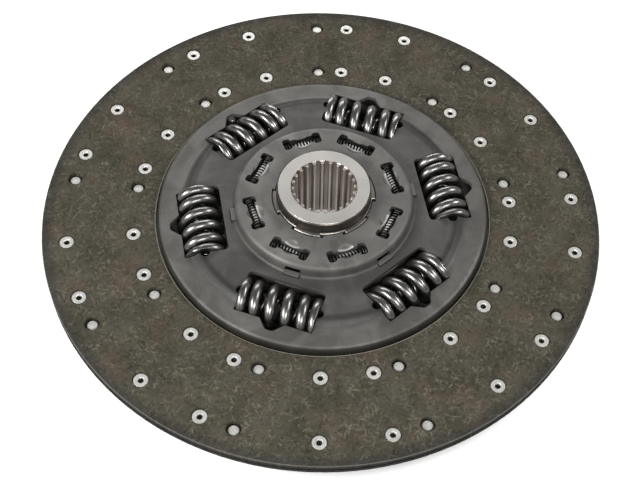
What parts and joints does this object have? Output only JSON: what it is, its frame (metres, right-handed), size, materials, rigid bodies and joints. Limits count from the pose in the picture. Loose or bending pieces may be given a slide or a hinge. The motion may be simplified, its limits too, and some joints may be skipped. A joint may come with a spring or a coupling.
{
  "type": "clutch disc",
  "caption": "Sprung clutch disc: riveted friction ring on cushion segments, coil-spring torsion damper under a domed slotted cover, and a splined hub.",
  "frame": {"origin": "on the hub axis, at mid-thickness of the friction ring", "axes": "+Z along the hub axis towards the domed gearbox side, +X through one damper spring"},
  "size_m": [0.4299, 0.43, 0.0639],
  "materials": {
    "friction_lining": "matt",
    "rivet_metal": "satin",
    "phosphated_steel": "satin",
    "friction_ring": "matt",
    "spring_steel": "oiled",
    "idle_spring_steel": "oiled",
    "segment_steel": "blued",
    "machined_steel": "turned",
    "plain_steel": "stamped",
    "bush_plastic": "moulded"
  },
  "bodies": {
    "friction_carrier": {"friction_facing_front": "friction_lining", "friction_facing_rear": "friction_lining", "cushion_segment_1": "segment_steel", "cushion_segment_2": "segment_steel", "cushion_segment_3": "segment_steel", "cushion_segment_4": "segment_steel", "cushion_segment_5": "segment_steel", "cushion_segment_6": "segment_steel", "cushion_segment_7": "segment_steel", "cushion_segment_8": "segment_steel", "cushion_segment_9": "segment_steel", "front_facing_rivets": "rivet_metal", "rear_facing_rivets": "rivet_metal", "segment_rivets": "rivet_metal", "drive_plate": "phosphated_steel"},
    "damper_cage": {"cover_plate": "phosphated_steel", "rear_plate": "phosphated_steel", "friction_ring_front": "friction_ring", "friction_ring_rear": "friction_ring", "diaphragm_spring": "spring_steel", "hub_bush": "bush_plastic", "idle_damper_cage": "bush_plastic", "damper_spring_outer_1": "spring_steel", "damper_spring_outer_2": "spring_steel", "damper_spring_outer_3": "spring_steel", "damper_spring_outer_4": "spring_steel", "damper_spring_outer_5": "spring_steel", "damper_spring_outer_6": "spring_steel", "damper_spring_inner_1": "spring_steel", "damper_spring_inner_2": "spring_steel", "damper_spring_inner_3": "spring_steel", "damper_spring_inner_4": "spring_steel", "damper_spring_inner_5": "spring_steel", "damper_spring_inner_6": "spring_steel", "idle_spring_1": "idle_spring_steel", "idle_spring_2": "idle_spring_steel", "idle_spring_3": "idle_spring_steel", "idle_spring_4": "idle_spring_steel", "idle_spring_5": "idle_spring_steel", "idle_spring_6": "idle_spring_steel", "idle_spring_7": "idle_spring_steel", "idle_spring_8": "idle_spring_steel"},
    "hub": {"splined_hub": "machined_steel", "idle_damper_plate": "plain_steel"}
  },
  "joints": [
    {"name": "main_damper_twist", "type": "hinge", "parent": "friction_carrier", "child": "damper_cage", "pos_m": [0, 0, 0], "axis": [0, 0, 1], "range_deg": [-7, 7], "stiffness_Nm_per_rad": 20000, "deforming": ["damper_spring_outer_1", "damper_spring_outer_2", "damper_spring_outer_3", "damper_spring_outer_4", "damper_spring_outer_5", "damper_spring_outer_6", "damper_spring_inner_1", "damper_spring_inner_2", "damper_spring_inner_3", "damper_spring_inner_4", "damper_spring_inner_5", "damper_spring_inner_6"]},
    {"name": "idle_damper_twist", "type": "hinge", "parent": "damper_cage", "child": "hub", "pos_m": [0, 0, 0], "axis": [0, 0, 1], "range_deg": [-3, 3], "stiffness_Nm_per_rad": 100, "deforming": ["idle_spring_1", "idle_spring_2", "idle_spring_3", "idle_spring_4", "idle_spring_5", "idle_spring_6", "idle_spring_7", "idle_spring_8"]}
  ]
}
